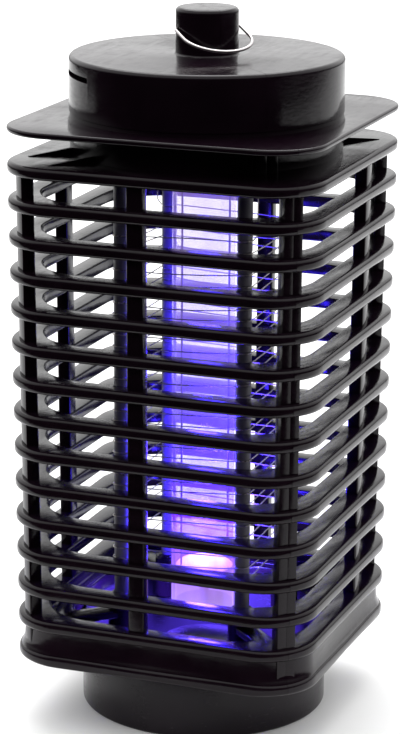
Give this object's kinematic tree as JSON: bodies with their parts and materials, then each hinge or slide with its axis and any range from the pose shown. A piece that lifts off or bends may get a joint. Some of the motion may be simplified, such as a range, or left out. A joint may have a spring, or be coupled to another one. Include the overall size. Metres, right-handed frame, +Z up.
{
  "type": "electric bug zapper",
  "caption": "Square lantern-style electric bug zapper: louvred cage, high-voltage wires wound on pillars round a violet lamp tube, capped head with wire bail, pull-off tray foot.",
  "frame": {"origin": "centre of the foot's underside, on the surface that the lantern stands on", "axes": "+Z up the lamp's axis; the cage faces look along X and Y, and -Y is the front-left face of the picture; the seam between the housing halves runs through the corners +X-Y and -X+Y"},
  "size_m": [0.12, 0.12, 0.265],
  "materials": {
    "black_shell": "glossy black moulded plastic with a faint orange peel",
    "tray_black": "glossy black moulded plastic",
    "grey_insulator": "satin grey insulating plastic",
    "steel_wire": "bare drawn steel wire",
    "lead_wire": "thin insulated lead",
    "clear_tube": "clear polished tube with a faint violet tint",
    "lamp_glow": "frosted violet lens, lit from behind",
    "board_green": "green solder mask",
    "capacitor_red": "dipped film capacitor",
    "diode_black": "moulded black body",
    "component_pale": "pale moulded body",
    "fuse_glass": "clear glass with metal ends",
    "rubber": "matt black rubber",
    "screw_steel": "zinc plated steel"
  },
  "bodies": {
    "housing": {"bleed_resistor": "component_pale", "board_screw_1": "screw_steel", "board_screw_2": "screw_steel", "board_screw_3": "screw_steel", "board_screw_4": "screw_steel", "capacitor_1": "capacitor_red", "capacitor_2": "capacitor_red", "capacitor_3": "capacitor_red", "circuit_board": "board_green", "cord_bush": "rubber", "diode_1": "diode_black", "diode_2": "diode_black", "diode_3": "diode_black", "diode_4": "diode_black", "fuse": "fuse_glass", "grid_base": "black_shell", "grid_wire_live": "steel_wire", "grid_wire_neutral": "steel_wire", "lamp_collar": "rubber", "lamp_tube": "clear_tube", "led_board": "board_green", "led_lead_live": "lead_wire", "led_lead_neutral": "lead_wire", "led_lens": "lamp_glow", "led_stem": "black_shell", "left_shell": "black_shell", "pillar_far": "grey_insulator", "pillar_left": "grey_insulator", "pillar_near": "grey_insulator", "pillar_right": "grey_insulator", "right_shell": "black_shell", "seam_screw_base": "screw_steel", "seam_screw_top": "screw_steel", "standoff_1": "black_shell", "standoff_2": "black_shell", "standoff_3": "black_shell", "standoff_4": "black_shell", "terminal_block": "component_pale", "top_deck": "black_shell", "tube_plug": "black_shell"},
    "bail": {"bail": "steel_wire"},
    "tray": {"tray": "tray_black"}
  },
  "joints": [
    {"name": "bail_swing", "type": "hinge", "parent": "housing", "child": "bail", "pos_m": [0, 0, 0.2575], "axis": [-0.7071, -0.7071, 0], "range_deg": [-8, 220]},
    {"name": "tray_drop", "type": "slide", "parent": "housing", "child": "tray", "axis": [0, 0, -1], "range_m": [0, 0.04]}
  ]
}
